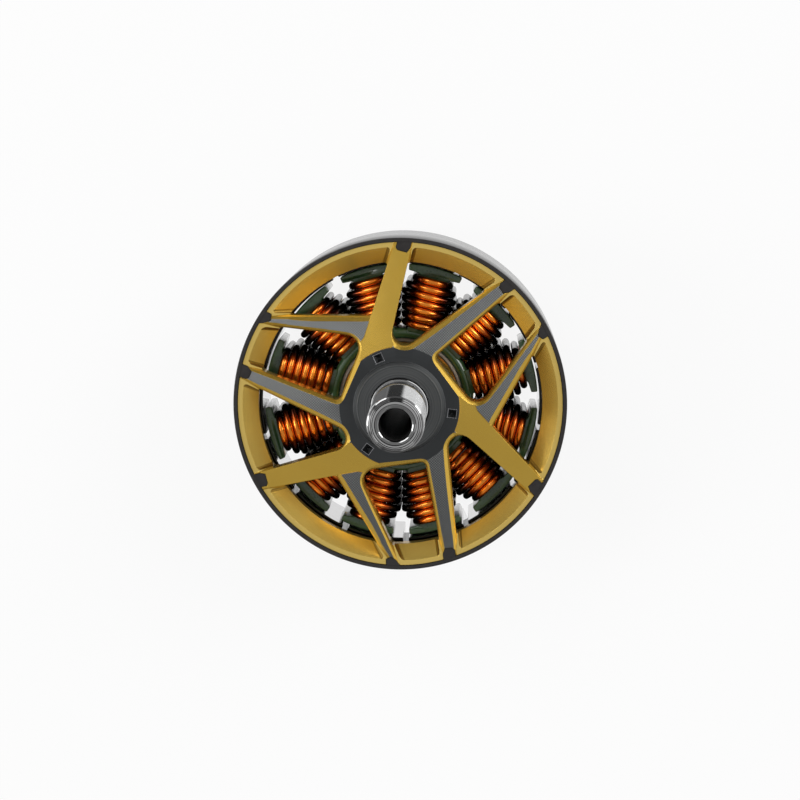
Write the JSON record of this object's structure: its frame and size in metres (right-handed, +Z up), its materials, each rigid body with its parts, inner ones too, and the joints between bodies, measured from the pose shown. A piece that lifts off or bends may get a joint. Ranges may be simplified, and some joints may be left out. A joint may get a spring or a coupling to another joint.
{
  "type": "brushless outrunner drone motor",
  "caption": "Brushless outrunner motor: a spoked gold bell with a steel ring and hollow threaded shaft spins round a copper-wound stator on a four-armed base.",
  "frame": {"origin": "centre of the base's underside, on the shaft's axis", "axes": "+Z up the shaft, from the base to the threaded end; +X and +Y lie across two gaps between the base's arms"},
  "size_m": [0.0304, 0.0304, 0.0328],
  "materials": {
    "base_gold": "gold anodised, fine turned lines",
    "bell_gold": "milled gold anodise with charcoal faces left on six spokes and the hub",
    "ring_black": "black glossy coating on steel",
    "stator_green": "dark green epoxy powder coat over laminations",
    "copper_wire": "orange enamel over copper wire",
    "magnet_nickel": "nickel plate",
    "shaft_steel": "polished bright metal, fine thread",
    "bearing_steel": "ground steel",
    "clip_steel": "blackened spring steel",
    "shim_brass": "thin stamped brass"
  },
  "bodies": {
    "stator": {"base": "base_gold", "stator_core": "stator_green", "coil_01": "copper_wire", "coil_02": "copper_wire", "coil_03": "copper_wire", "coil_04": "copper_wire", "coil_05": "copper_wire", "coil_06": "copper_wire", "coil_07": "copper_wire", "coil_08": "copper_wire", "coil_09": "copper_wire", "coil_10": "copper_wire", "coil_11": "copper_wire", "coil_12": "copper_wire", "lower_bearing_outer_ring": "bearing_steel", "lower_bearing_top_shield": "bearing_steel", "lower_bearing_bottom_shield": "bearing_steel", "upper_bearing_outer_ring": "bearing_steel", "upper_bearing_top_shield": "bearing_steel", "upper_bearing_bottom_shield": "bearing_steel"},
    "rotor": {"bell": "bell_gold", "flux_ring": "ring_black", "shaft": "shaft_steel", "retaining_clip": "clip_steel", "lower_shim": "shim_brass", "upper_shim": "shim_brass", "magnet_01": "magnet_nickel", "magnet_02": "magnet_nickel", "magnet_03": "magnet_nickel", "magnet_04": "magnet_nickel", "magnet_05": "magnet_nickel", "magnet_06": "magnet_nickel", "magnet_07": "magnet_nickel", "magnet_08": "magnet_nickel", "magnet_09": "magnet_nickel", "magnet_10": "magnet_nickel", "magnet_11": "magnet_nickel", "magnet_12": "magnet_nickel", "magnet_13": "magnet_nickel", "magnet_14": "magnet_nickel", "lower_bearing_inner_ring": "bearing_steel", "upper_bearing_inner_ring": "bearing_steel"},
    "lower_ball_set": {"lower_bearing_cage": "bearing_steel", "lower_ball_1": "bearing_steel", "lower_ball_2": "bearing_steel", "lower_ball_3": "bearing_steel", "lower_ball_4": "bearing_steel", "lower_ball_5": "bearing_steel", "lower_ball_6": "bearing_steel", "lower_ball_7": "bearing_steel"},
    "upper_ball_set": {"upper_bearing_cage": "bearing_steel", "upper_ball_1": "bearing_steel", "upper_ball_2": "bearing_steel", "upper_ball_3": "bearing_steel", "upper_ball_4": "bearing_steel", "upper_ball_5": "bearing_steel", "upper_ball_6": "bearing_steel", "upper_ball_7": "bearing_steel"}
  },
  "joints": [
    {"name": "rotor_spin", "type": "hinge", "parent": "stator", "child": "rotor", "pos_m": [0, 0, 0], "axis": [0, 0, 1], "continuous": true},
    {"name": "lower_ball_orbit", "type": "hinge", "parent": "stator", "child": "lower_ball_set", "pos_m": [0, 0, 0], "axis": [0, 0, 1], "continuous": true},
    {"name": "upper_ball_orbit", "type": "hinge", "parent": "stator", "child": "upper_ball_set", "pos_m": [0, 0, 0], "axis": [0, 0, 1], "continuous": true}
  ],
  "couplings": [
    {"joint": "lower_ball_orbit", "follows": "rotor_spin", "ratio": 0.4046},
    {"joint": "upper_ball_orbit", "follows": "rotor_spin", "ratio": 0.4046}
  ]
}
